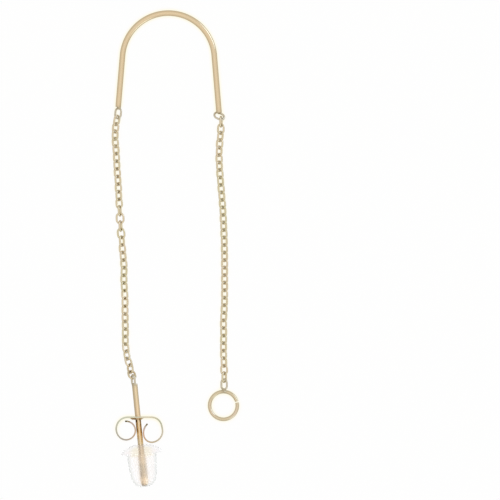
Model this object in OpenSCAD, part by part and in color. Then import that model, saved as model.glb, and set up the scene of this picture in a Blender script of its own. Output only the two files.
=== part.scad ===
// Threader chain earring laid flat: a U-shaped ear bar, two cable chains,
// a straight ear post with a butterfly nut and a soft stopper, and an open ring.
// +X runs across the earring, +Y towards the ear bar, and it lies on z = 0.

/* [Ear bar] */
// Diameter of the round wire of the ear bar
bar_d = 0.7; // [0.6:0.05:0.8]
// Radius of the bar's bend, to the middle of the wire
bar_bend = 5.75; // [5.5:0.05:6]
// How far each leg leans outwards, in degrees
bar_splay = 4.8; // [4:0.1:5.5]

/* [Chain] */
// Diameter of the wire of a link
link_wire = 0.23; // [0.18:0.01:0.23]
// Outside length of a link
link_l = 1.53; // [1.53:0.01:1.58]
// Outside width of a link
link_w = 1.15; // [1.08:0.01:1.2]
// Diameter of the beads of solder on the end links
solder_d = 0.5; // [0.4:0.05:0.6]

/* [Ear post] */
// Diameter of the ear post
post_d = 0.7; // [0.6:0.05:0.7]
// Length of the ear post
post_l = 12.75; // [11:0.25:12.75]
// Space between the ear post and the holes that slide on it
running_gap = 0.05; // [0.02:0.01:0.08]

/* [Butterfly nut] */
// Thickness of the folded sheet
nut_sheet = 0.18; // [0.12:0.02:0.2]
// Depth of the nut along its scrolls
nut_depth = 5; // [4:0.1:5]

/* [Stopper] */
// Diameter of the stopper's domed flange
flange_d = 5; // [4.6:0.1:5]
// Length of the stopper
stopper_l = 5.25; // [5.25:0.05:6]

/* [End ring] */
// Outside diameter of the end ring
ring_d = 3.9; // [3.7:0.1:4.2]
// Diameter of the end ring's wire
ring_wire = 0.44; // [0.4:0.02:0.5]
// Opening between the two ends of the ring
ring_gap = 0.12; // [0.05:0.01:0.3]

/* [Hidden] */
fine = 64;
// Number of loose links in each strand
link_count = 35;

// Height of the ear post's axis: the flange of the stopper rests on z = 0
axle_z = flange_d / 2;
bar_centre = [-0.84, 23.75];
// Straight length of the two legs, which end on their soldered links
post_leg_l = 6.65;
ring_leg_l = 7.2;
// Soldered links: middle [x, y, z], heading of the long axis and roll about it
post_bar_link = [[-7.14, 16.92, 0.44], -6, -44];
ring_bar_link = [[5.56, 16.66, 0.39], -115, -36];
ring_end_link = [[6.14, -16.92, 0.48], 0, -40];
post_top = [-5.05, -16.85];
// Lean of the ear post away from the length of the earring, in degrees
post_lean = 5.7;
// The post's soldered link, as [x, y, z] from the post's end and a roll
post_end_link = [[-0.1, 0.51, 0], 0, -68];
ring_centre = [6.06, -19.56];
// Beads of solder on those four links, the last one from the post's end too
post_bar_bead = [-7.13, 17.62, 0.4];
ring_bar_bead = [5.52, 17.02, 0.3];
ring_end_bead = [6.12, -17.68, 0.34];
post_end_bead = [-0.08, -0.08, 0];
// Direction of the ring's opening from its middle, in degrees
ring_open_at = 14.5;

// Strand that ends on the ear post: [x, y, height] of its middle line
post_route = [
    [-7.2, 16.45, 0.48], [-7.4, 15.3, 0.48], [-7.5, 13.8, 0.47], [-7.35, 12, 0.46],
    [-7.25, 10, 0.46], [-7.1, 8, 0.46], [-7, 6, 0.48], [-6.9, 4.5, 0.59],
    [-6.8, 2.5, 0.59], [-6.65, 1, 0.52], [-6.5, -1, 0.46], [-6.35, -2.2, 0.46],
    [-6.4, -4, 0.46], [-6.25, -6, 0.46], [-6.25, -8, 0.46], [-6.2, -10, 0.46],
    [-6.2, -11.8, 0.46], [-6.05, -13.1, 0.7], [-5.85, -13.95, 1], [-5.6, -14.85, 1.4],
    [-5.45, -15.5, 1.85], [-5.3, -16.05, 2.3]
];
// Strand that ends on the ring: [x, y, height] of its middle line
ring_route = [
    [5.75, 16.4, 0.6], [5.75, 15.4, 0.58], [5.7, 14.4, 0.54], [5.6, 13.4, 0.5],
    [5.5, 11.8, 0.48], [5.55, 10.4, 0.46], [5.65, 8.9, 0.46], [5.8, 7.2, 0.46],
    [5.95, 5.4, 0.46], [6.05, 3.6, 0.46], [6.15, 1.2, 0.46], [6.2, -1.4, 0.46],
    [6.2, -3.6, 0.46], [6.2, -6, 0.46], [6.15, -7.6, 0.46], [6.05, -9.3, 0.46],
    [6.1, -10.6, 0.46], [6.05, -12.2, 0.46], [6.1, -13.8, 0.47], [6.15, -15.2, 0.53],
    [6.15, -16.45, 0.53]
];
// Twist of each strand: [link number, roll in degrees]. Every second link adds a quarter turn.
post_twist = [[0, -48], [4, -45], [11, -50], [12, -74], [14, -74], [17, -48], [32, -42], [33, -44], [34, -28]];
ring_twist = [[0, -78], [1, -52], [5, -48], [31, -45], [34, -60]];

// Butterfly nut, one side of the sheet: [length or radius, turn in degrees] of each
// fold outwards from the post. A turn of 0 is a straight.
left_folds = [[1.28, 0], [1.46, 133], [1.15, 234]];
right_folds = [[1.7, 0], [1.3, 78], [0.42, 0], [1.4, 96], [0.98, 78], [1.53, 66]];
fold_step = 11;
// Where the plate crosses the ear post, from the post's chain end
nut_at = 4.2;
// Share of the nut's depth that the sheet keeps: [distance from the post, share]
sheet_taper = [[0, 1], [2.4, 1], [6.5, 0.84], [8.7, 0.7], [9.2, 0.6], [9.4, 0.44]];
// Dimple round the hole: radius at the plate, radius at its foot and depth
dimple_r = 0.8;
dimple_foot_r = 0.62;
dimple_h = 0.3;

// Stopper's outline: [radius as a share of the flange's, distance from its top]
stopper_at = 7.65;
flange_outline = [
    [0.3, 0], [0.52, 0.13], [0.72, 0.36], [0.88, 0.64], [0.97, 0.9],
    [1, 1.06], [0.985, 1.14], [0.93, 1.12], [0.82, 1.04], [0.72, 1.06]
];
// Below the flange: [radius as a share of the flange's, share of the whole length]
body_outline = [
    [0.71, 0.26], [0.705, 0.36], [0.68, 0.55], [0.64, 0.72], [0.61, 0.79],
    [0.56, 0.86], [0.48, 0.92], [0.37, 0.97], [0.24, 1]
];

bore_r = post_d / 2 + running_gap;

// A smooth line through points, sampled between each pair
function eased(a, b, c, d, t) =
    0.5 * (2 * b + (c - a) * t + (2 * a - 5 * b + 4 * c - d) * t * t + (3 * b - a - 3 * c + d) * t * t * t);
function smooth(p, steps = 8) = [
    for (i = [0:len(p) - 2], k = [0:steps - 1])
        eased(p[max(i - 1, 0)], p[i], p[i + 1], p[min(i + 2, len(p) - 1)], k / steps),
    p[len(p) - 1]
];
// Distance along a line at each of its points
function stations(p) = [
    for (i = 0, s = 0; i < len(p); s = s + norm(p[min(i + 1, len(p) - 1)] - p[i]), i = i + 1) s
];
function along(p, at, s) = [
    for (axis = [0:2]) lookup(s, [for (i = [0:len(p) - 1]) [at[i], p[i][axis]]])
];

// Points of a fold, as [place, heading]: straights end in one point, turns in several
function fold_points(folds, place, heading, turn, k = 0) =
    k >= len(folds) ? [] :
    let (
        size = folds[k][0],
        angle = folds[k][1],
        count = max(1, ceil(angle / fold_step)),
        steps = [
            for (j = [1:count])
                let (t = heading + turn * angle * j / count)
                angle == 0
                    ? [place + size * [cos(heading), sin(heading)], heading]
                    : [place + turn * size * ([-sin(heading), cos(heading)] - [-sin(t), cos(t)]), t]
        ]
    )
    concat(steps, fold_points(folds, steps[count - 1][0], steps[count - 1][1], turn, k + 1));

// One oval link in the XY plane, its length along Y
module link() {
    bend = (link_w - link_wire) / 2;
    straight = link_l - link_w;
    for (side = [0, 180])
        rotate([0, 0, side]) {
            translate([0, straight / 2, 0])
                rotate_extrude(angle = 180, $fn = fine)
                    translate([bend, 0])
                        circle(d = link_wire, $fn = 24);
            translate([bend, straight / 2, 0])
                rotate([90, 0, 0])
                    cylinder(d = link_wire, h = straight, $fn = 24);
        }
}

module placed_link(spot)
    translate(spot[0])
        rotate([0, 0, spot[1]])
            rotate([0, spot[2], 0])
                link();

module solder(place)
    translate(place)
        sphere(d = solder_d, $fn = 32);

// A strand of loose links, each threaded through the next
module strand(route, twist) {
    line = smooth(route);
    at = stations(line);
    step = at[len(at) - 1] / link_count;
    for (i = [0:link_count - 1]) {
        start = along(line, at, i * step);
        end = along(line, at, (i + 1) * step);
        run = end - start;
        translate((start + end) / 2)
            rotate([0, 0, atan2(-run[0], run[1])])
                rotate([asin(run[2] / norm(run)), 0, 0])
                    rotate([0, lookup(i, twist) + 90 * (i % 2), 0])
                        link();
    }
}

// Places a piece at a distance down the ear post, whose axis becomes -Y
module on_post(distance)
    translate([post_top[0], post_top[1], axle_z])
        rotate([0, 0, post_lean])
            translate([0, -distance, 0])
                children();

// Half of the ear bar: one leg and its share of the bend, cut at the crown
module half_bar(leg_l)
    intersection() {
        rotate([0, 0, bar_splay]) {
            rotate_extrude(angle = 90, $fn = 2 * fine)
                translate([bar_bend, 0])
                    circle(d = bar_d, $fn = fine);
            translate([bar_bend, 0, 0])
                rotate([90, 0, 0])
                    cylinder(d = bar_d, h = leg_l, $fn = fine);
        }
        translate([0, -2 * bar_bend, -bar_d])
            cube([2 * bar_bend, 4 * bar_bend, 2 * bar_d]);
    }

module ear_bar()
    color([0.86, 0.77, 0.62]) {
        translate([bar_centre[0], bar_centre[1], bar_d / 2]) {
            half_bar(ring_leg_l);
            mirror([1, 0, 0])
                half_bar(post_leg_l);
        }
        placed_link(post_bar_link);
        solder(post_bar_bead);
        placed_link(ring_bar_link);
        solder(ring_bar_bead);
    }

module post_chain()
    color([0.78, 0.73, 0.62])
        strand(post_route, post_twist);

module ring_chain()
    color([0.78, 0.73, 0.62])
        strand(ring_route, ring_twist);

module ear_post()
    color([0.86, 0.77, 0.62])
        on_post(0) {
            tip = 0.1;
            rotate([90, 0, 0])
                cylinder(d = post_d, h = post_l - tip, $fn = fine);
            translate([0, tip - post_l, 0])
                rotate([90, 0, 0])
                    cylinder(d1 = post_d, d2 = post_d - 2 * tip, h = tip, $fn = fine);
            placed_link(post_end_link);
            solder(post_end_bead);
        }

// The folded sheet, from the end of one scroll across the plate to the other
module nut_sheet_solid() {
    left = fold_points(left_folds, [0, 0], 180, 1);
    right = fold_points(right_folds, [0, 0], 0, -1);
    path = concat(
        [for (i = [len(left) - 1:-1:0]) [left[i][0], left[i][1] + 180]],
        right
    );
    places = [for (p = path) p[0]];
    at = stations(places);
    middle = at[len(left) - 1] + norm(left[0][0]);
    ring = [
        for (i = [0:len(path) - 1])
            let (
                side = nut_sheet / 2 * [-sin(path[i][1]), cos(path[i][1])],
                half = nut_depth / 2 * lookup(abs(at[i] - middle), sheet_taper),
                a = places[i] + side,
                b = places[i] - side
            )
            each [[a[0], a[1], half], [b[0], b[1], half], [b[0], b[1], -half], [a[0], a[1], -half]]
    ];
    last = 4 * (len(path) - 1);
    polyhedron(
        points = ring,
        faces = concat(
            [[0, 1, 2, 3]],
            [for (i = [0:4:last - 4], k = [0:3]) [i + k, i + 4 + k, i + 4 + (k + 1) % 4, i + (k + 1) % 4]],
            [[last + 3, last + 2, last + 1, last]]
        ),
        convexity = 8
    );
}

module ear_nut()
    color([0.85, 0.8, 0.68])
        difference() {
            on_post(nut_at)
                rotate([0, 0, -post_lean])
                    difference() {
                        union() {
                            nut_sheet_solid();
                            rotate([90, 0, 0])
                                cylinder(r1 = dimple_r, r2 = dimple_foot_r, h = dimple_h, $fn = fine);
                        }
                        translate([0, nut_sheet / 2 + 0.02, 0])
                            rotate([90, 0, 0])
                                cylinder(r1 = dimple_foot_r, r2 = bore_r, h = dimple_h, $fn = fine);
                    }
            on_post(nut_at - 1)
                rotate([90, 0, 0])
                    cylinder(r = bore_r, h = 2, $fn = fine);
        }

module stopper()
    color([0.95, 0.95, 0.94, 0.5])
        on_post(stopper_at)
            rotate([90, 0, 0])
                rotate_extrude($fn = 96)
                    polygon(concat(
                        [[bore_r, 0]],
                        [for (p = flange_outline) [p[0] * flange_d / 2, p[1]]],
                        [for (p = body_outline) [p[0] * flange_d / 2, p[1] * stopper_l]],
                        [[bore_r, stopper_l]]
                    ));

module end_ring()
    color([0.84, 0.74, 0.6]) {
        bend = (ring_d - ring_wire) / 2;
        opening = 2 * asin(ring_gap / 2 / bend);
        translate([ring_centre[0], ring_centre[1], ring_wire / 2])
            rotate([0, 0, ring_open_at + opening / 2])
                rotate_extrude(angle = 360 - opening, $fn = 96)
                    translate([bend, 0])
                        circle(d = ring_wire, $fn = 32);
        placed_link(ring_end_link);
        solder(ring_end_bead);
    }

ear_bar();
post_chain();
ring_chain();
ear_post();
ear_nut();
stopper();
end_ring();
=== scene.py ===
"""Looks of a chain threader earring that lies flat.

Every piece is a fine mesh in its CAD solid's place. The ear bar is at the top, two chains hang
from it, and they end in an ear post with its nut and stopper, and in an open ring.
"""

import math

import bmesh
import bpy
import numpy as np
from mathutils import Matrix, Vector


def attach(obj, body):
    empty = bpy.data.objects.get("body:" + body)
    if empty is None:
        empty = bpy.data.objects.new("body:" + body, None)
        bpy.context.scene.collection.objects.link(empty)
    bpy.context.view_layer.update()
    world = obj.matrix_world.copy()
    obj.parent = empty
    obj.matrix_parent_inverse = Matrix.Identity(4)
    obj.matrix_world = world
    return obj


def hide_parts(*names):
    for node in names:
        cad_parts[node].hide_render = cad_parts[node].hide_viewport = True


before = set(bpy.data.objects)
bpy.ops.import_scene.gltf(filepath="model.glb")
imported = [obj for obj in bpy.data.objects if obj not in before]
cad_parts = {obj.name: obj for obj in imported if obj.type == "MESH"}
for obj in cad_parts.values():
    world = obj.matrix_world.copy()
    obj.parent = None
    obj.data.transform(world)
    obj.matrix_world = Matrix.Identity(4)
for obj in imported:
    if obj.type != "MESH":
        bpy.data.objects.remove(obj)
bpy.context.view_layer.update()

# Lengths below are in millimetres and turned into metres when a mesh is made.
MM = 0.001

# The camera sees a square of this side, centred here, from straight above
VIEW_SIDE = 62.5
VIEW_CENTRE = (9.375, -0.125)
CAMERA_HEIGHT = 300.0
CAMERA_RANGE = (10.0, 5000.0)

# Angles at which the rounding of a wire's cut end is drawn
CUT_ANGLES = np.radians([0, 30, 60, 90])

# The round wire of the ear bar and the ear post
WIRE = 0.7
WIRE_SIDES = 48

BAR_CENTRE = np.array([-0.825, 23.735, WIRE / 2])
BAR_BEND = 5.75
BAR_SPLAY = math.radians(4.8)
POST_LEG = 6.5
RING_LEG = 7.2
BAR_ROUNDING = 0.05
# The left leg is snipped off at a slant, its outer side the shorter
LEG_SLANT = -0.37
BEND_POINTS = 121
LEG_POINTS = 25

LINK_WIRE = 0.245
LINK_LENGTH = 1.48
LINK_WIDTH = 1.14
SOLDERED_LENGTH = 1.53
LINK_SIDES = 16
LINK_BEND_STEPS = 20
LINK_STRAIGHT_STEPS = 5
# Points of a CAD solid that are closer than this, in metres, are one
WELD = 1e-7

# Links hang together a little closer here than their solids do: (place along Y, pulled up by)
POST_SLACK = (
    (-16, -0.04), (-14.5, 0), (-7.5, -0.03), (-5, 0.06), (9, 0.15), (12, 0.18), (16.3, 0.07),
)
RING_SLACK = ((-15, -0.03), (-11, -0.01), (-8, 0.03), (10, 0.05), (13, 0.03), (16, -0.03))

# Soldered links: middle, heading of the long axis and roll about it, in degrees
POST_BAR_LINK = ((-7.11, 16.96, 0.44), -6, -38)
RING_BAR_LINK = ((5.53, 16.61, 0.39), -115, -36)
RING_END_LINK = ((6.14, -16.92, 0.48), 0, -40)
POST_END_LINK = ((-0.12, 0.47, 0), 0, -66)
# Drops of solder on them: middle and radius. The last link and drop are in the ear post's frame
POST_BAR_BEAD = ((-7.03, 17.61, 0.42), 0.17)
RING_BAR_BEAD = ((5.48, 17.02, 0.34), 0.17)
RING_END_BEAD = ((6.14, -17.66, 0.36), 0.2)
POST_END_BEAD = ((-0.12, -0.1, 0), 0.2)
# How far solder creeps along the wires, and the cells of its mesh
SOLDER_BLEND = 0.14
SOLDER_CELL = 0.03
# Its block of cells reaches this many creeps past the drop, and wire further from the drop than
# this many times the block's half side is left out
SOLDER_MARGIN = 2.2
SOLDER_NEAR = 3
# Wires are this much thinner in its mesh, which keeps all but the solder under their surface
SOLDER_UNDER = 0.008
# How far its dull tone reaches, and how much of the heated links' tone it takes
SOLDER_SPREAD = 0.4
SOLDER_HEAT = 0.5

# The ear post's frame: its axis runs down from this point, leaning a little
POST_TOP = np.array([-5.05, -16.85, 2.5])
POST_LEAN = math.radians(5.7)
POST_LENGTH = 12.75
POST_POINTS = 41
POST_ROUNDING = 0.04
NUT_AT = 4.2
STOPPER_AT = 7.65

RING_CENTRE = np.array([6.06, -19.56, 0.22])
RING_OUTSIDE = 3.9
RING_WIRE = 0.44
RING_SIDES = 36
RING_POINTS = 145
RING_ROUNDING = 0.03
RING_OPEN_AT = math.radians(14.5)
RING_GAP = 0.16

SHEET = 0.19
NUT_DEPTH = 5.0
# Folds of the nut's sheet outwards from the post: (length or radius, turn in degrees)
LEFT_FOLDS = ((1.26, 0), (1.46, 133), (1.16, 234))
RIGHT_FOLDS = ((1.69, 0), (1.3, 78), (0.42, 0), (1.4, 96), (1.0, 78), (1.53, 66))
FOLD_STEP = 0.02
# Share of the nut's depth that the sheet keeps: (distance from the post along it, share)
SHEET_TAPER = ((0, 1), (2.4, 1), (6.5, 0.84), (8.7, 0.7), (9.2, 0.6), (9.4, 0.44))
# The hole's radius. It is a little left of the post, and the sheet is dished round it
NUT_HOLE = 0.54
HOLE_ASIDE = -0.15
DISH_REACH = 0.93
DISH_DEPTH = 0.22
# The flat sheet's grid: points along each side, points from its edges to a square block round
# the hole, and steps across that block and from its rim to the hole, closest at the hole
LEFT_POINTS = 110
RIGHT_POINTS = 120
EDGE_POINTS = 10
HOLE_BLOCK = 1.2
BLOCK_STEPS = 12
HOLE_STEPS = 12
HOLE_CROWDING = 0.8
# Points of the grid that agree to this many digits are one
GRID_DIGITS = 5
# Rounding of the sheet's pressed edges, and how far in from them their tone, with painted
# light and shade, reaches
EDGE_ROUNDING = 0.045
EDGE_SEGMENTS = 3
EDGE_ANGLE = math.radians(60)
EDGE_REACH = 0.06

STOPPER_SIDES = 160
# Stopper's outline, from the rim of its mouth on: (radius, distance from its top)
STOPPER_OUTLINE = (
    (0.75, 0), (1.3, 0.13), (1.8, 0.35), (2.2, 0.58), (2.42, 0.76), (2.5, 0.91), (2.47, 1.05),
    (2.33, 1.13), (2.12, 1.13), (1.92, 1.17), (1.83, 1.28), (1.8, 1.45), (1.79, 1.9),
    (1.73, 2.9), (1.62, 3.78), (1.54, 4.15), (1.41, 4.5), (1.2, 4.83), (0.92, 5.09),
    (0.6, 5.22), (0.4, 5.25),
)
# Its bore grips the post, flares into the mouth and has a small rounding at the other end
GRIP_RADIUS = 0.347
STOPPER_MOUTH = ((GRIP_RADIUS, 0.62), (0.42, 0.42), (0.52, 0.2), (0.62, 0.06), (0.75, 0))
STOPPER_FOOT = ((GRIP_RADIUS + 0.03, 5.25), (GRIP_RADIUS, 5.21))
BORE_SPAN = (4.95, 0.92)
BORE_POINTS = 9
OUTLINE_STEPS = 6
MOUTH_STEPS = 4
# Where the flange's look starts and where it is full: by radius, and by distance from the top
# for its rim and for its whole upper side
FLANGE_INSIDE = (1.0, 1.8)
FLANGE_BELOW = (1.36, 1.21)
FLANGE_TOP = (0.85, 0.6)

# Noise on the metal as (scale, detail, roughness): clouds in its tone, its grain, and the lines
# that it was drawn with, which are stretched along the wire
CLOUDS = (420.0, 3.0, 0.55)
GRAIN = (5200.0, 2.0, 0.5)
LINES = (2.2, 5.0, 0.6)
LINE_STRETCH = 0.35
# Part of each noise's range that shows, and how much the lines shade the tone
CLOUD_SPAN = (0.36, 0.64)
LINE_SPAN = (0.42, 0.78)
LINE_SHADE = 0.35
# Roughness follows the lines: part of their range, and share of the metal's own roughness
ROUGH_SPAN = (0.3, 0.7)
ROUGH_SHARES = (0.75, 1.35)
# Bumps: (strength, height in millimetres)
LINE_BUMP = (0.12, 0.01)
GRAIN_BUMP = (0.06, 0.006)
# Painted shade where pieces touch: where openness makes it full and none, and rays that
# measure how open a place is
NOOK_SHADE_SPAN = (0.26, 0.78)
NOOK_SHADE_RAYS = 8

HEATED_TONE = (0.67, 0.592, 0.45)
SOLDER_TONE = (0.5, 0.42, 0.28)
# Blotches on solder: noise, part of its range, and least and most solder tone
BLOTCHES = (6000.0, 3.0, 0.5)
BLOTCH_SPAN = (0.35, 0.6, 0.3, 1.0)
# Painted light and shade round the ear post's wire, from its left side over its top: (mm, share)
POST_PAINTED_BANDS = (
    (0, 0.84), (0.34, 0.8), (0.48, 0.9), (0.6, 1.14), (0.7, 1.02), (0.9, 0.92), (1.1, 0.95),
    (2.2, 0.84),
)
# Painted light and shade along it, from a little above the nut: (mm from its top, share)
PAINTED_ALONG_FROM = 4
POST_PAINTED_ALONG = (
    (4.2, 1), (4.45, 0.82), (4.8, 0.98), (5.7, 1.1), (6.6, 1.07), (7.4, 1), (8.2, 0.89),
    (9.8, 0.9), (10.5, 0.73), (11.5, 0.76), (11.9, 1.08), (12.4, 1.03), (12.6, 0.5),
)
# Along the sheet its tips are less than this from the post. Tone of its pressed edges, with
# painted light and shade, from the left tip to the right one: (mm, colour)
EDGE_END = 9.4
EDGE_PAINTED_TONES = (
    (-9.3, (0.4, 0.42, 0.29)), (-8.6, (0.56, 0.43, 0.36)), (-7.3, (0.64, 0.44, 0.27)),
    (-5.5, (0.43, 0.37, 0.3)), (-1.8, (0.6, 0.61, 0.47)), (1.4, (0.74, 0.66, 0.49)),
    (3.0, (0.49, 0.49, 0.34)), (4.4, (0.63, 0.56, 0.43)), (6.4, (0.56, 0.45, 0.29)),
    (7.8, (0.68, 0.43, 0.28)), (8.7, (0.6, 0.46, 0.38)), (9.3, (0.46, 0.45, 0.32)),
)

# The stopper's silicone. Spans say where a change starts and is full, from 0 where its skin
# faces the eye to 1 where it is seen edge on
SKIN_TONE = (0.995, 0.96, 0.942)
# Painted shade: the skin greyer on its sides and at its outline, and the flange greyer than the
# skin, its outline lighter again
SKIN_PAINTED_SIDE = (0.957, 0.943, 0.935)
SKIN_PAINTED_OUTLINE = (0.84, 0.85, 0.835)
FLANGE_PAINTED_SHADE = (0.91, 0.88, 0.882)
FLANGE_PAINTED_OUTLINE = (0.95, 0.945, 0.945)
SKIN_SIDE_SPAN = (0.12, 0.38)
SKIN_OUTLINE_SPAN = (0.32, 0.64)
# How much it bends light: span, then the index where it starts and where it is full
SKIN_BEND = (0.18, 0.48, 1.42, 1.02)
FLANGE_BEND = (0.4, 0.66, 1.05, 1.01)
# Its painted inner glow, though it is no lamp, in the same way
SKIN_PAINTED_GLOW = (0.35, 0.65, 0.04, 0.0)
SKIN_PAINTED_GLOW_TONE = (1, 0.95, 0.93)
# Bloom of fingerprints and dust: noise, then part of its range and roughness there, and bump
BLOOM = (900.0, 4.0, 0.6)
BLOOM_ROUGH = (0.35, 0.7, 0.4, 0.46)
BLOOM_BUMP = (0.1, 0.02)
SKIN_CLEARNESS = 0.9

# The dome: (height of the direction's tip, brightness)
DOME = ((-1, 0.99), (-0.01, 0.99), (0, 0.74), (0.26, 0.81), (0.74, 0.87), (1, 1))
# Lamps on it: heading, climb, angles where full light ends and where it fades out, colour
LAMPS = (
    (31, 12, 10, 23, (1.9, 2.4, 3.2)),
    (-51, 12, 10, 24, (1.45, 1.7, 1.9)),
)

# The floors. They lie to one side, which keeps the seam between their triangles out of view
FLOOR_SIDE = 3000.0
FLOOR_ASIDE = 500.0
FLOOR_HEIGHT = -0.1
LOWER_FLOOR_HEIGHT = -0.2
LOWER_FLOOR_TONE = (0.7, 0.69, 0.645)
# The upper one's glow, with painted shadow where pieces close in on it: (how open it is there,
# colour)
FLOOR_REACH = 0.6
FLOOR_RAYS = 16
FLOOR_PAINTED_SHADOW = (
    (0, (0.04, 0.03, 0.015)), (0.1, (0.12, 0.1, 0.05)), (0.3, (0.93, 0.87, 0.68)),
    (0.62, (1.0, 0.972, 0.81)), (0.74, (1.0, 0.98, 0.93)), (0.9, (0.996, 0.99, 0.982)),
    (0.97, (0.994, 0.994, 0.992)),
)

# Sockets of a mix node for colours, which share their names with others: inputs and result
MIX_INPUTS = (0, 6, 7)
MIX_RESULT = 2


def unit(v):
    """Vectors in the same directions, each of length 1."""
    return v / np.linalg.norm(v, axis=-1, keepdims=True)


def rise(values, start, full):
    """How far values are on their way from start to full, from 0 to 1."""
    return np.clip((values - start) / (full - start), 0, 1)


def mark(mesh, kind, shares):
    """Gives each point of a mesh a number that its material reads."""
    layer = mesh.attributes.new(kind, "FLOAT", "POINT")
    layer.data.foreach_set("value", np.asarray(shares, np.float32))


def add_piece(name, mesh):
    piece = bpy.data.objects.new(name, mesh)
    bpy.context.scene.collection.objects.link(piece)
    return piece


class Surface:
    """Points, faces and texture places (in millimetres) of one piece, collected part by part."""

    def __init__(self):
        self.points, self.faces, self.places, self.count = [], [], [], 0
        self.strand, self.beads = [], []

    def add(self, points, faces, places, strand=0.0):
        """strand says how much these points are chain wire."""
        self.points.append(np.asarray(points, float))
        self.faces += [tuple(i + self.count for i in face) for face in faces]
        self.places += places
        self.count += len(points)
        self.strand.append(np.full(len(points), strand))

    def make(self, name, material):
        mesh = bpy.data.meshes.new(name)
        points = np.concatenate(self.points)
        mesh.from_pydata((points * MM).tolist(), [], self.faces)
        layer = mesh.uv_layers.new(name="wire")
        layer.data.foreach_set("uv", np.array(self.places, float).ravel())
        if self.beads:
            away = [
                np.linalg.norm(points - middle, axis=1) - radius for middle, radius in self.beads
            ]
            mark(mesh, "strand", np.concatenate(self.strand))
            mark(mesh, "solder", rise(np.min(away, axis=0), SOLDER_SPREAD, 0))
        mesh.materials.append(material)
        mesh.shade_smooth()
        return add_piece(name, mesh)


def sweep(
    surface, path, normal, radius, sides, closed=False, rounding=0.0, slant=0.0, strand=0.0
):
    """Adds a round wire along a flat path. normal is the plane's, rounding softens its cut
    ends, and slant leans the first cut."""
    path = np.asarray(path, float)
    radii = np.full(len(path), radius)
    cuts = len(CUT_ANGLES)
    if closed:
        along = unit(np.roll(path, -1, axis=0) - np.roll(path, 1, axis=0))
    else:
        along = unit(np.gradient(path, axis=0))
    if rounding:
        inset = rounding * (1 - np.sin(CUT_ANGLES))[:, None]
        shrink = rounding * (1 - np.cos(CUT_ANGLES))
        start = path[0] + along[0] * inset
        end = path[-1] - along[-1] * inset
        path = np.concatenate([start[::-1], path[1:-1], end])
        radii = np.concatenate([(radii[0] - shrink)[::-1], radii[1:-1], radii[-1] - shrink])
        along = np.concatenate([[along[0]] * cuts, along[1:-1], [along[-1]] * cuts])
    up = unit(np.broadcast_to(np.asarray(normal, float), path.shape))
    side = unit(np.cross(along, up))
    angles = np.arange(sides) * 2 * math.pi / sides
    rings = path[:, None] + radii[:, None, None] * (
        side[:, None] * np.cos(angles)[:, None] + up[:, None] * np.sin(angles)[:, None]
    )
    if slant:
        lean = slant * radii[:cuts, None] * np.cos(angles)
        rings[:cuts] += along[:cuts, None] * lean[:, :, None]
    count = len(path)
    steps = np.linalg.norm(np.diff(path, axis=0, append=path[:1]), axis=1)
    reach = np.concatenate([[0], np.cumsum(steps)])
    girth = 2 * math.pi * float(radii.mean()) / sides
    faces, places = [], []
    for i in range(count if closed else count - 1):
        j = (i + 1) % count
        low, high = reach[i], reach[i + 1]
        for k in range(sides):
            m = (k + 1) % sides
            left, right = k * girth, (k + 1) * girth
            faces.append((i * sides + k, j * sides + k, j * sides + m, i * sides + m))
            places += [(left, low), (left, high), (right, high), (right, low)]
    points = rings.reshape(-1, 3)
    if not closed:
        points = np.concatenate([points, path[:1], path[-1:]])
        first, last = count * sides, count * sides + 1
        for k in range(sides):
            m = (k + 1) % sides
            faces.append((first, k, m))
            faces.append((last, (count - 1) * sides + m, (count - 1) * sides + k))
            places += [(0, 0)] * 3 + [(0, reach[count - 1])] * 3
    surface.add(points, faces, places, strand)


def oval(length):
    """Middle line of an oval link in the XY plane, its length along Y."""
    bend = (LINK_WIDTH - LINK_WIRE) / 2
    half = (length - LINK_WIDTH) / 2
    angles = np.linspace(0, math.pi, LINK_BEND_STEPS, endpoint=False)
    arc = np.stack([bend * np.cos(angles), half + bend * np.sin(angles), 0 * angles], 1)
    rows = np.linspace(half, -half, LINK_STRAIGHT_STEPS, endpoint=False)
    straight = np.stack([-bend + 0 * rows, rows, 0 * rows], 1)
    part = np.concatenate([arc, straight])
    return np.concatenate([part, part * [-1, -1, 1]])


def add_link(surface, middle, axes, length):
    """Adds one link and gives its middle line. axes has the directions of the link's width,
    length and normal as rows."""
    line = middle + oval(length) @ axes
    sweep(surface, line, axes[2], LINK_WIRE / 2, LINK_SIDES, closed=True, strand=1.0)
    return line


def spot_axes(heading, roll):
    """Width, length and normal of a link that is rolled about its length, then turned to its
    heading."""
    h, r = math.radians(heading), math.radians(roll)
    length = np.array([-math.sin(h), math.cos(h), 0])
    flat = np.array([math.cos(h), math.sin(h), 0])
    up = np.array([0, 0, 1.0])
    width = flat * math.cos(r) - up * math.sin(r)
    return np.stack([width, length, flat * math.sin(r) + up * math.cos(r)])


def wire_distance(spots, path, radius, closed=False):
    """Distance of each spot to the surface of a round wire, whose open ends are cut flat."""
    ends = np.roll(path, -1, axis=0) if closed else path[1:]
    starts = path if closed else path[:-1]
    nearest = np.full(len(spots), np.inf)
    for a, b in zip(starts, ends):
        run = b - a
        share = np.clip((spots - a) @ run / (run @ run), 0, 1)
        off = spots - a - share[:, None] * run
        nearest = np.minimum(nearest, np.linalg.norm(off, axis=1))
    nearest -= radius
    if not closed:
        for end, inner in ((path[0], path[1]), (path[-1], path[-2])):
            nearest = np.maximum(nearest, (spots - end) @ unit(end - inner))
    return nearest


def blended(distances, reach):
    """The least of some distances, rounded off where two are about equal."""
    total = distances[0]
    for other in distances[1:]:
        alike = np.clip(1 - np.abs(total - other) / reach, 0, 1)
        total = np.minimum(total, other) - alike**2 * reach / 4
    return total


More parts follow.
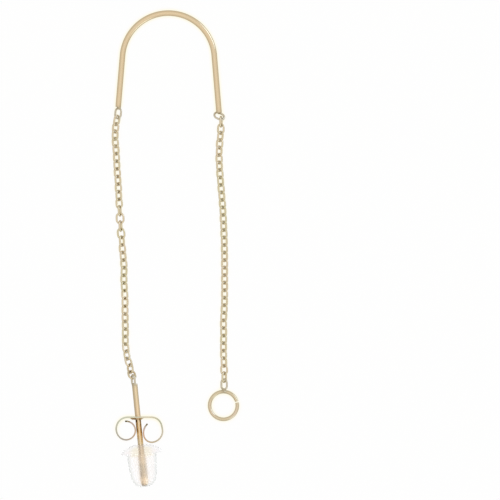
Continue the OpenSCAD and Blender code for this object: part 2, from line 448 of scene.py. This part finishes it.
def skin(values, corner, cell):
    """Points and faces of the surface where a block of values is zero, by surface nets."""
    low = values < 0
    sums = np.zeros(np.array(values.shape + (3,)) - [1, 1, 1, 0])
    hits = np.zeros(sums.shape[:3])
    size = np.array(sums.shape[:3])
    cuts = []
    for axis in range(3):
        near = [slice(None)] * 3
        far = [slice(None)] * 3
        near[axis], far[axis] = slice(None, -1), slice(1, None)
        a, b = values[tuple(near)], values[tuple(far)]
        cut = np.argwhere(low[tuple(near)] != low[tuple(far)])
        first, second = a[tuple(cut.T)], b[tuple(cut.T)]
        spots = cut.astype(float)
        spots[:, axis] += first / (first - second)
        others = [k for k in range(3) if k != axis]
        round_edge = []
        for du, dv in ((-1, -1), (0, -1), (0, 0), (-1, 0)):
            cells = cut.copy()
            cells[:, others[0]] += du
            cells[:, others[1]] += dv
            round_edge.append(cells)
        inside = np.all([((c >= 0) & (c < size)).all(1) for c in round_edge], axis=0)
        for cells in round_edge:
            np.add.at(sums, tuple(cells[inside].T), spots[inside])
            np.add.at(hits, tuple(cells[inside].T), 1)
        outward = (first < 0)[inside] != (axis == 1)
        cuts.append(([c[inside] for c in round_edge], outward))
    index = np.full(hits.shape, -1)
    used = hits > 0
    index[used] = np.arange(used.sum())
    points = corner + cell * sums[used] / hits[used][:, None]
    faces = []
    for round_edge, outward in cuts:
        quads = np.stack([index[tuple(c.T)] for c in round_edge], 1)
        quads[~outward] = quads[~outward][:, ::-1]
        faces.append(quads)
    return points, np.concatenate(faces)


def solder_on(surface, middle, axes, bead, wire, radius):
    """Adds a soldered link and the drop of solder that runs smoothly from it into a wire. bead
    is the drop's middle and radius, wire the wire's path."""
    line = add_link(surface, middle, axes, SOLDERED_LENGTH)
    drop, size = np.array(bead[0]), bead[1]
    half = size + SOLDER_MARGIN * SOLDER_BLEND
    near = wire[np.linalg.norm(wire - drop, axis=1) < SOLDER_NEAR * half]
    ticks = np.arange(-half, half, SOLDER_CELL)
    block = np.stack(np.meshgrid(ticks, ticks, ticks, indexing="ij"), -1)
    spots = block.reshape(-1, 3) + drop
    distances = (
        wire_distance(spots, line, LINK_WIRE / 2 - SOLDER_UNDER, closed=True),
        wire_distance(spots, near, radius - SOLDER_UNDER),
        np.linalg.norm(spots - drop, axis=1) - size,
    )
    values = blended(distances, SOLDER_BLEND).reshape(block.shape[:3])
    for axis in range(3):
        edge = [slice(None)] * 3
        for edge[axis] in (0, -1):
            values[tuple(edge)] = SOLDER_CELL
    points, faces = skin(values, drop - half, SOLDER_CELL)
    surface.add(points, faces.tolist(), [(0, 0)] * (4 * len(faces)), SOLDER_HEAT)
    surface.beads.append((drop, size))


def loose_links(node):
    """Middle and axes of each loose solid of a chain's node, from the ear bar down."""
    bm = bmesh.new()
    bm.from_mesh(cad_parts[node].data)
    bmesh.ops.remove_doubles(bm, verts=bm.verts, dist=WELD)
    seen, links = set(), []
    for start in bm.verts:
        if start in seen:
            continue
        seen.add(start)
        todo, found = [start], []
        while todo:
            here = todo.pop()
            found.append(here)
            for edge in here.link_edges:
                other = edge.other_vert(here)
                if other not in seen:
                    seen.add(other)
                    todo.append(other)
        cloud = np.array([v.co for v in found]) / MM
        middle = (cloud.min(0) + cloud.max(0)) / 2
        spread = np.linalg.eigh(np.cov((cloud - middle).T))[1]
        length, width = spread[:, 2], spread[:, 1]
        links.append((middle, np.stack([width, length, np.cross(width, length)])))
    bm.free()
    return sorted(links, key=lambda link: -link[0][1])


def placed(points, distance, lean=POST_LEAN):
    """Turns points of the ear post's frame, whose -Y runs down the post, into the earring's,
    and moves them a distance down the post. lean is their own, where they don't lean with it."""
    c, s = math.cos(lean), math.sin(lean)
    turn = np.array([[c, s, 0], [-s, c, 0], [0, 0, 1]])
    down = np.array([math.sin(POST_LEAN), -math.cos(POST_LEAN), 0])
    return POST_TOP + down * distance + np.asarray(points, float) @ turn


def fold_line(folds, heading, turn):
    """Distances, places and headings at small steps along the sheet, from the ear post out
    along its folds. turn is 1 where they run anticlockwise and -1 where they run clockwise."""
    places, headings, here = [np.zeros(2)], [heading], np.zeros(2)
    for size, angle in folds:
        length = size if angle == 0 else math.radians(angle) * size
        count = max(2, round(length / FOLD_STEP))
        bend = turn * math.radians(angle)
        start, first = here, headings[-1]
        for i in range(1, count + 1):
            now = first + bend * i / count
            if angle == 0:
                here = start + size * i / count * np.array([math.cos(first), math.sin(first)])
            else:
                across = math.sin(now) - math.sin(first)
                down = math.cos(first) - math.cos(now)
                here = start + turn * size * np.array([across, down])
            places.append(here)
            headings.append(now)
    places, headings = np.array(places), np.array(headings)
    steps = np.linalg.norm(np.diff(places, axis=0), axis=1)
    return np.concatenate([[0], np.cumsum(steps)]), places, headings


def smoothed(points, steps):
    """A smooth line through points, sampled between each pair."""
    points = np.asarray(points, float)
    padded = np.concatenate([points[:1], points, points[-1:]])
    line = []
    for a, b, c, d in zip(padded[:-3], padded[1:-2], padded[2:-1], padded[3:]):
        square = 2 * a - 5 * b + 4 * c - d
        cube = 3 * b - a - 3 * c + d
        for t in np.arange(steps) / steps:
            line.append(0.5 * (2 * b + (c - a) * t + square * t**2 + cube * t**3))
    return np.array(line + [points[-1]])


class Graph:
    """A node tree, with short calls for the nodes used here."""

    def __init__(self, owner, shader):
        """owner is a material or the world, shader the name of its last node but one."""
        owner.use_nodes = True
        self.owner = owner
        self.tree = owner.node_tree
        self.shader = self.tree.nodes[shader]

    def put(self, socket, value):
        """Links another socket to this one, or sets it to a constant. A colour needs no alpha."""
        if isinstance(value, bpy.types.NodeSocket):
            self.tree.links.new(value, socket)
        elif socket.type == "RGBA":
            socket.default_value = (*value, 1)
        else:
            socket.default_value = value

    def fill(self, node, inputs):
        for key, value in inputs.items():
            self.put(node.inputs[key.replace("_", " ")], value)

    def set(self, **inputs):
        self.fill(self.shader, inputs)

    def node(self, kind, settings=None, **inputs):
        made = self.tree.nodes.new(kind)
        for key, value in (settings or {}).items():
            setattr(made, key, value)
        self.fill(made, inputs)
        return made

    def mix(self, factor, low, high, blend="MIX"):
        made = self.node("ShaderNodeMix", {"data_type": "RGBA", "blend_type": blend})
        for place, value in zip(MIX_INPUTS, (factor, low, high)):
            self.put(made.inputs[place], value)
        return made.outputs[MIX_RESULT]

    def times(self, colour, other):
        return self.mix(1.0, colour, other, "MULTIPLY")

    def maths(self, kind, operation, *values):
        made = self.node(kind, {"operation": operation})
        for socket, value in zip(made.inputs, values):
            self.put(socket, value)
        return made.outputs["Value"]

    def ramp(self, value, low, high, start=0.0, end=1.0):
        """Maps low to high of a value onto start to end, clamped."""
        ends = {"From_Min": low, "From_Max": high, "To_Min": start, "To_Max": end}
        return self.node("ShaderNodeMapRange", Value=value, **ends).outputs[0]

    def stops(self, value, low, high, stops):
        """A colour that follows a value through stops: (value, colour or brightness)."""
        made = self.node("ShaderNodeValToRGB", Fac=self.ramp(value, low, high))
        band = made.color_ramp
        while len(band.elements) < len(stops):
            band.elements.new(0.5)
        for element, (place, tone) in zip(band.elements, stops):
            element.position = (place - low) / (high - low)
            element.color = (*(tone if isinstance(tone, tuple) else (tone, tone, tone)), 1)
        return made.outputs[0]

    def noise(self, spot, scale, detail, roughness):
        """Values of a noise, about 0.5 on average."""
        look = {"Scale": scale, "Detail": detail, "Roughness": roughness}
        return self.node("ShaderNodeTexNoise", Vector=spot, **look).outputs[0]

    def bump(self, height, strength, distance, **under):
        look = {"Strength": strength, "Distance": distance * MM, "Height": height}
        return self.node("ShaderNodeBump", **look, **under).outputs[0]

    def openness(self, reach, rays):
        """How open it is round a place, from 0 to 1, as far out as reach."""
        made = self.node("ShaderNodeAmbientOcclusion", {"samples": rays}, Distance=reach * MM)
        return made.outputs["AO"]

    def share(self, kind):
        return self.node("ShaderNodeAttribute", {"attribute_name": kind}).outputs["Fac"]

    def split(self, vector):
        return self.node("ShaderNodeSeparateXYZ", Vector=vector).outputs


def new_material(name):
    return Graph(bpy.data.materials.new(name), "Principled BSDF")


def gold(name, tone, warm, shade, roughness, drawn, nook_shade, details=()):
    """Plated metal: cloudy tone, fine lines drawn along the wire, and painted shade where pieces
    touch. warm is the clouds' colour and shade the lines', drawn is how fine they are, and
    nook_shade is how near pieces are where they touch, and how bright the painted shade leaves
    it there. details paint on the tone."""
    g = new_material(name)
    spot = g.node("ShaderNodeTexCoord").outputs["Object"]
    place = g.node("ShaderNodeUVMap", {"uv_map": "wire"}).outputs[0]
    stretch = g.node("ShaderNodeMapping", Vector=place, Scale=(drawn, LINE_STRETCH, 1.0))
    lines = g.noise(stretch.outputs[0], *LINES)
    colour = g.mix(g.ramp(g.noise(spot, *CLOUDS), *CLOUD_SPAN), tone, warm)
    colour = g.mix(g.ramp(lines, *LINE_SPAN, 0, LINE_SHADE), colour, shade)
    for detail in details:
        colour = detail(g, colour, spot, place)
    # Painted shade: the tone darkens where other pieces close in, as between the links
    near, bright = nook_shade
    painted_shade = tuple(zip(NOOK_SHADE_SPAN, (bright, 1.0)))
    bump = g.bump(lines, *LINE_BUMP)
    g.set(
        Base_Color=g.times(colour, g.stops(g.openness(near, NOOK_SHADE_RAYS), 0, 1, painted_shade)),
        Metallic=1.0,
        Roughness=g.ramp(lines, *ROUGH_SPAN, *(roughness * share for share in ROUGH_SHARES)),
        Normal=g.bump(g.noise(spot, *GRAIN), *GRAIN_BUMP, Normal=bump),
    )
    return g.owner


def soldered(g, colour, spot, place):
    """Links that were heated to solder them on are greyer, and solder is duller and blotchy."""
    colour = g.mix(g.share("strand"), colour, HEATED_TONE)
    blotches = g.ramp(g.noise(spot, *BLOTCHES), *BLOTCH_SPAN)
    amount = g.maths("ShaderNodeMath", "MULTIPLY", g.share("solder"), blotches)
    return g.mix(amount, colour, SOLDER_TONE)


def painted_post_light(g, colour, spot, place):
    """Painted light and shade in broad bands round the ear post, and along it, darker just past
    the nut and inside the stopper.
    """
    around, along = g.split(place)[:2]
    # Painted light and shade: bands round the wire, and stretches along it
    girth = g.stops(around, 0, math.pi * WIRE, POST_PAINTED_BANDS)
    painted_along = g.stops(along, PAINTED_ALONG_FROM, POST_LENGTH, POST_PAINTED_ALONG)
    return g.times(g.times(colour, girth), painted_along)


def pressed(g, colour, spot, place):
    """The sheet's bare pressed edges, whose tone, with painted light and shade, drifts along the
    strip.
    """
    along = g.split(place)[1]
    # The edges take a tone that holds painted light and shade
    return g.mix(g.share("edge"), colour, g.stops(along, -EDGE_END, EDGE_END, EDGE_PAINTED_TONES))


def silicone():
    """Clear soft silicone with a matt skin, painted shade that makes it greyer towards its outline
    and in its flange, a painted glow, and a faint bloom of fingerprints and dust. It bends light
    little where it is seen edge on, as a soft skin does, and in its thin flange."""
    g = new_material("clear_silicone")
    bloom = g.noise(g.node("ShaderNodeTexCoord").outputs["Object"], *BLOOM)
    flange = g.share("flange")
    facing = g.node("ShaderNodeLayerWeight", Blend=0.5).outputs["Facing"]
    # Painted shade: greyer towards the sides and the outline
    body = g.mix(g.ramp(facing, *SKIN_SIDE_SPAN), SKIN_TONE, SKIN_PAINTED_SIDE)
    tint = g.mix(flange, body, FLANGE_PAINTED_SHADE)
    outline = g.mix(flange, SKIN_PAINTED_OUTLINE, FLANGE_PAINTED_OUTLINE)
    bends = g.ramp(facing, *SKIN_BEND), g.ramp(facing, *FLANGE_BEND)
    g.set(
        Base_Color=g.mix(g.ramp(facing, *SKIN_OUTLINE_SPAN), tint, outline),
        Roughness=g.ramp(bloom, *BLOOM_ROUGH),
        IOR=g.ramp(flange, 0, 1, *bends),
        Transmission_Weight=SKIN_CLEARNESS,
        # Painted glow, strongest where its skin faces the eye
        Emission_Color=SKIN_PAINTED_GLOW_TONE,
        Emission_Strength=g.ramp(facing, *SKIN_PAINTED_GLOW),
        Normal=g.bump(bloom, *BLOOM_BUMP),
    )
    return g.owner


def dress(piece, body, node):
    """Says which body a piece rides on and the CAD node that it replaces."""
    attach(piece, body)
    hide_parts(node)


def make_ear_bar(metal):
    surface = Surface()
    angles = np.linspace(math.pi - BAR_SPLAY, BAR_SPLAY, BEND_POINTS)
    arc = BAR_CENTRE + BAR_BEND * np.stack([np.cos(angles), np.sin(angles), 0 * angles], 1)
    left = np.array([-math.sin(BAR_SPLAY), -math.cos(BAR_SPLAY), 0])
    right = left * [-1, 1, 1]
    rows = np.linspace(0, 1, LEG_POINTS)[1:, None]
    post_leg = (arc[0] + rows * POST_LEG * left)[::-1]
    ring_leg = arc[-1] + rows * RING_LEG * right
    path = np.concatenate([post_leg, arc, ring_leg])
    ends = {"rounding": BAR_ROUNDING, "slant": LEG_SLANT}
    sweep(surface, path, (0, 0, 1), WIRE / 2, WIRE_SIDES, **ends)
    for spot, bead in ((POST_BAR_LINK, POST_BAR_BEAD), (RING_BAR_LINK, RING_BAR_BEAD)):
        middle, heading, roll = spot
        solder_on(surface, np.array(middle), spot_axes(heading, roll), bead, path, WIRE / 2)
    dress(surface.make("ear_bar_metal", metal), "earring", "ear_bar")


def make_chain(name, node, metal, slack):
    """slack holds (place along Y, how far the links there are pulled up)."""
    surface = Surface()
    for middle, axes in loose_links(node):
        pull = np.interp(middle[1], *zip(*slack))
        add_link(surface, middle + np.array([0, pull, 0]), axes, LINK_LENGTH)
    dress(surface.make(name, metal), "earring", node)


def make_ear_post(metal):
    surface = Surface()
    rows = np.linspace(0, -POST_LENGTH, POST_POINTS)
    path = placed(np.stack([0 * rows, rows, 0 * rows], 1), 0)
    sweep(surface, path, (0, 0, 1), WIRE / 2, WIRE_SIDES, rounding=POST_ROUNDING)
    middle, heading, roll = POST_END_LINK
    axes = spot_axes(heading + math.degrees(POST_LEAN), roll)
    bead = placed(POST_END_BEAD[0], 0), POST_END_BEAD[1]
    solder_on(surface, placed(middle, 0), axes, bead, path, WIRE / 2)
    dress(surface.make("ear_post_metal", metal), "earring", "ear_post")


def make_end_ring(metal):
    surface = Surface()
    bend = (RING_OUTSIDE - RING_WIRE) / 2
    opening = math.asin(RING_GAP / 2 / bend)
    first, last = RING_OPEN_AT + opening, RING_OPEN_AT + 2 * math.pi - opening
    angles = np.linspace(first, last, RING_POINTS)
    path = RING_CENTRE + bend * np.stack([np.cos(angles), np.sin(angles), 0 * angles], 1)
    sweep(surface, path, (0, 0, 1), RING_WIRE / 2, RING_SIDES, rounding=RING_ROUNDING)
    middle, heading, roll = RING_END_LINK
    axes = spot_axes(heading, roll)
    solder_on(surface, np.array(middle), axes, RING_END_BEAD, path, RING_WIRE / 2)
    dress(surface.make("end_ring_metal", metal), "earring", "end_ring")


def flat_sheet(left_end, right_end):
    """The nut's sheet unfolded and without thickness: a grid with a round hole, X along the
    sheet from the ear post and Y across it."""
    half = NUT_DEPTH / 2
    across = np.linspace(-HOLE_BLOCK, HOLE_BLOCK, BLOCK_STEPS + 1)
    stations = np.concatenate([
        np.linspace(-left_end, -HOLE_BLOCK, LEFT_POINTS)[:-1], across,
        np.linspace(HOLE_BLOCK, right_end, RIGHT_POINTS)[1:],
    ])
    rows = np.concatenate([
        np.linspace(-half, -HOLE_BLOCK, EDGE_POINTS)[:-1], across,
        np.linspace(HOLE_BLOCK, half, EDGE_POINTS)[1:],
    ])
    bm = bmesh.new()
    grid = {}

    def vert(s, t):
        key = (round(s, GRID_DIGITS), round(t, GRID_DIGITS))
        if key not in grid:
            grid[key] = bm.verts.new((s, t, 0))
        return grid[key]

    for s0, s1 in zip(stations[:-1], stations[1:]):
        for t0, t1 in zip(rows[:-1], rows[1:]):
            if max(abs(s0 + s1), abs(t0 + t1)) / 2 >= HOLE_BLOCK:
                bm.faces.new((vert(s0, t0), vert(s1, t0), vert(s1, t1), vert(s0, t1)))
    side = across[:-1]
    rim = [(a, -HOLE_BLOCK) for a in side] + [(HOLE_BLOCK, a) for a in side]
    rim += [(-a, HOLE_BLOCK) for a in side] + [(-HOLE_BLOCK, -a) for a in side]
    circles = [[vert(s, t) for s, t in rim]]
    for k in range(1, HOLE_STEPS + 1):
        share = (k / HOLE_STEPS) ** HOLE_CROWDING
        circle = []
        for corner in np.array(rim):
            hole = NUT_HOLE * corner / math.hypot(*corner) + (HOLE_ASIDE, 0)
            circle.append(bm.verts.new((*(corner * (1 - share) + hole * share), 0)))
        circles.append(circle)
    for outer, inner in zip(circles[:-1], circles[1:]):
        for k in range(len(outer)):
            m = (k + 1) % len(outer)
            bm.faces.new((outer[k], outer[m], inner[m], inner[k]))
    bmesh.ops.recalc_face_normals(bm, faces=bm.faces)
    mesh = bpy.data.meshes.new("ear_nut_sheet")
    bm.to_mesh(mesh)
    bm.free()
    return mesh


def thicken(piece):
    """Gives a flat piece the sheet's thickness and rounded edges, and hands back its mesh."""
    thick = piece.modifiers.new("thickness", "SOLIDIFY")
    thick.thickness, thick.offset = SHEET, 0
    soft = piece.modifiers.new("edges", "BEVEL")
    soft.width, soft.segments = EDGE_ROUNDING, EDGE_SEGMENTS
    soft.limit_method, soft.angle_limit = "ANGLE", EDGE_ANGLE
    shown = piece.evaluated_get(bpy.context.evaluated_depsgraph_get())
    mesh = bpy.data.meshes.new_from_object(shown)
    piece.modifiers.clear()
    piece.data = mesh
    return mesh


def make_nut(metal):
    """The nut as a flat sheet with a hole, given its thickness, then dished and folded."""
    left = fold_line(LEFT_FOLDS, math.pi, 1)
    right = fold_line(RIGHT_FOLDS, 0, -1)
    left_end, right_end = left[0][-1], right[0][-1]
    piece = add_piece("ear_nut_sheet", flat_sheet(left_end, right_end))
    mesh = thicken(piece)
    flat = np.array([v.co for v in mesh.vertices])
    s, t, n = flat.T
    distance = np.abs(s)
    share = rise(np.hypot(s - HOLE_ASIDE, t), DISH_REACH, NUT_HOLE)
    dish = DISH_DEPTH * share**2 * (3 - 2 * share)
    places, facing = np.zeros((2, len(flat), 2))
    for (reach, line, headings), part, sign in ((left, s < 0, -1), (right, s >= 0, 1)):
        for axis in (0, 1):
            places[part, axis] = np.interp(distance[part], reach, line[:, axis])
        turn = np.interp(distance[part], reach, headings)
        facing[part] = sign * np.stack([-np.sin(turn), np.cos(turn)], 1)
    keep = np.interp(distance, *zip(*SHEET_TAPER))
    folded = np.column_stack([places + facing * (n - dish)[:, None], t * keep])
    mesh.vertices.foreach_set("co", (placed(folded, NUT_AT, lean=0.0) * MM).ravel())
    layer = mesh.uv_layers.new(name="wire")
    for loop in mesh.loops:
        layer.data[loop.index].uv = (t[loop.vertex_index], s[loop.vertex_index])
    ends = np.where(s < 0, left_end, right_end)
    # These edges get the tone with painted light and shade
    mark(mesh, "edge", (np.abs(t) > NUT_DEPTH / 2 - EDGE_REACH) | (distance > ends - EDGE_REACH))
    mesh.materials.clear()
    mesh.materials.append(metal)
    mesh.shade_smooth()
    mesh.update()
    dress(piece, "nut", "ear_nut")


def make_stopper(material):
    """The stopper as a profile, round its outline and back through its bore, that is turned
    about the ear post."""
    bore = [(GRIP_RADIUS, y) for y in np.linspace(*BORE_SPAN, BORE_POINTS)]
    mouth = smoothed(STOPPER_MOUTH, MOUTH_STEPS)[:-1]
    outline = smoothed(STOPPER_OUTLINE, OUTLINE_STEPS)
    profile = np.concatenate([mouth, outline, STOPPER_FOOT, bore])
    sides = STOPPER_SIDES
    angles = np.arange(sides) * 2 * math.pi / sides
    points = [(r * math.cos(a), -y, r * math.sin(a)) for r, y in profile for a in angles]
    faces, places = [], []
    for i in range(len(profile)):
        j = (i + 1) % len(profile)
        for k in range(sides):
            m = (k + 1) % sides
            faces.append((i * sides + k, i * sides + m, j * sides + m, j * sides + k))
            places += [(k, i), (k + 1, i), (k + 1, i + 1), (k, i + 1)]
    surface = Surface()
    surface.add(placed(points, STOPPER_AT), faces, places)
    piece = surface.make("stopper_body", material)
    radius, down = profile.T
    rim = rise(radius, *FLANGE_INSIDE) * rise(down, *FLANGE_BELOW)
    mark(piece.data, "flange", np.repeat(np.maximum(rim, rise(down, *FLANGE_TOP)), sides))
    dress(piece, "cap", "stopper")


def make_floor(name, height, mirrored, glow=None):
    """A plain plane that glows in one colour, or else in tones with painted shadow where pieces
    close in on it.
    The metal mirrors only the dimmer, lower one of the two, as it would a real table that the
    camera overexposes."""
    spot = (FLOOR_ASIDE * MM, 0, height * MM)
    bpy.ops.mesh.primitive_plane_add(size=FLOOR_SIDE * MM, location=spot)
    floor = bpy.context.object
    floor.name = name
    g = new_material("pale_" + name)
    if glow is None:
        # Painted shadow: the glow darkens where pieces close in on the floor
        glow = g.stops(g.openness(FLOOR_REACH, FLOOR_RAYS), 0, 1, FLOOR_PAINTED_SHADOW)
    g.set(
        Base_Color=(0, 0, 0),
        Roughness=1.0,
        Specular_IOR_Level=0.0,
        Emission_Color=glow,
        Emission_Strength=1.0,
    )
    floor.data.materials.append(g.owner)
    floor.visible_glossy = mirrored
    floor.visible_camera = floor.visible_transmission = not mirrored
    floor.visible_diffuse = floor.visible_shadow = not mirrored


def make_light():
    """A soft dome that is brightest overhead and dimmest just above the horizon, with two large
    soft lamps low on its right."""
    world = bpy.data.worlds.new("studio")
    bpy.context.scene.world = world
    g = Graph(world, "Background")
    place = g.node("ShaderNodeTexCoord").outputs["Generated"]
    light = g.stops(g.split(place)[2], -1, 1, DOME)
    for heading, climb, full, faded, colour in LAMPS:
        a, b = math.radians(heading), math.radians(climb)
        towards = (math.cos(a) * math.cos(b), math.sin(a) * math.cos(b), math.sin(b))
        edge = g.node(
            "ShaderNodeMapRange",
            {"interpolation_type": "SMOOTHSTEP"},
            Value=g.maths("ShaderNodeVectorMath", "DOT_PRODUCT", place, towards),
            From_Min=math.cos(math.radians(faded)),
            From_Max=math.cos(math.radians(full)),
        )
        light = g.mix(edge.outputs[0], light, colour)
    g.set(Color=light, Strength=1.0)


def make_camera():
    data = bpy.data.cameras.new("camera")
    data.type = "ORTHO"
    data.ortho_scale = VIEW_SIDE * MM
    data.clip_start, data.clip_end = (distance * MM for distance in CAMERA_RANGE)
    camera = bpy.data.objects.new("camera", data)
    camera.location = Vector((*VIEW_CENTRE, CAMERA_HEIGHT)) * MM
    bpy.context.scene.collection.objects.link(camera)
    bpy.context.scene.camera = camera


bpy.context.scene.view_settings.view_transform = "Standard"
make_camera()

polished = gold(
    "polished_gold", tone=(0.775, 0.618, 0.405), warm=(0.8, 0.618, 0.39), shade=(0.62, 0.52, 0.33),
    roughness=0.16, drawn=9.0, nook_shade=(0.1, 0.75), details=(soldered,),
)
post_metal = gold(
    "post_gold", tone=(0.8, 0.64, 0.41), warm=(0.83, 0.63, 0.4), shade=(0.64, 0.54, 0.34),
    roughness=0.16, drawn=9.0, nook_shade=(0.1, 1.0), details=(painted_post_light, soldered),
)
fine_wire = gold(
    "chain_gold", tone=(0.75, 0.66, 0.435), warm=(0.8, 0.66, 0.47), shade=(0.58, 0.52, 0.3),
    roughness=0.2, drawn=7.0, nook_shade=(0.17, 0.06),
)
ring_wire = gold(
    "ring_gold", tone=(0.7, 0.585, 0.39), warm=(0.74, 0.6, 0.44), shade=(0.58, 0.5, 0.33),
    roughness=0.2, drawn=8.0, nook_shade=(0.14, 0.5), details=(soldered,),
)
rolled = gold(
    "sheet_gold", tone=(0.86, 0.74, 0.54), warm=(0.88, 0.75, 0.56), shade=(0.72, 0.64, 0.46),
    roughness=0.22, drawn=6.0, nook_shade=(0.1, 1.0), details=(pressed,),
)

make_ear_bar(polished)
make_chain("post_chain_links", "post_chain", fine_wire, POST_SLACK)
make_chain("ring_chain_links", "ring_chain", fine_wire, RING_SLACK)
make_ear_post(post_metal)
make_end_ring(ring_wire)
make_nut(rolled)
make_stopper(silicone())
make_floor("floor", FLOOR_HEIGHT, mirrored=False)
make_floor("floor_below", LOWER_FLOOR_HEIGHT, mirrored=True, glow=LOWER_FLOOR_TONE)
make_light()
